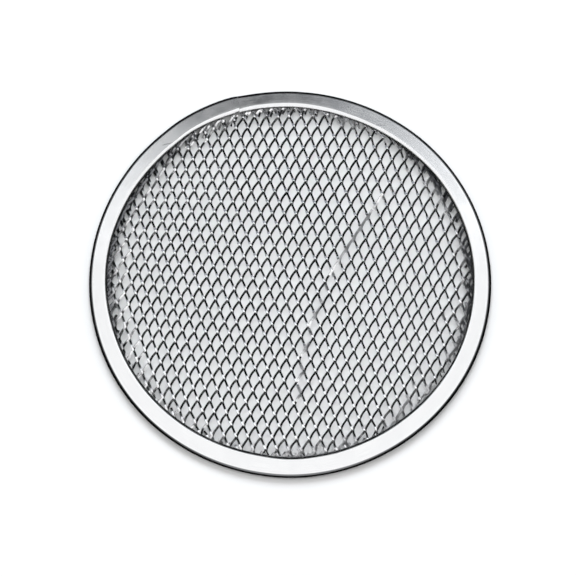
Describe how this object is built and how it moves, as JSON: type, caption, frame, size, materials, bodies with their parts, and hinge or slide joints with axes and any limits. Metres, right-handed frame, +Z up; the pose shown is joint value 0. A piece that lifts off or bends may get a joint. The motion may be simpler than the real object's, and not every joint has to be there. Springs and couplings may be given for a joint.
{
  "type": "pizza screen",
  "caption": "Round pizza screen: a disc of expanded aluminium mesh with diamond openings, its edge gripped in a folded aluminium rim.",
  "frame": {"origin": "centre of the rim's flat underside, on the surface that the screen lies on", "axes": "+Z up, out of the baking side; +X to the right of the picture; +Y away from the viewer"},
  "size_m": [0.2286, 0.2286, 0.0041],
  "materials": {
    "rim_strip": "bare mill-finish strip, rolled and lightly scuffed",
    "expanded_mesh": "bare mill-finish expanded sheet"
  },
  "bodies": {
    "root": {"rim": "rim_strip", "mesh_disc": "expanded_mesh"}
  },
  "joints": []
}
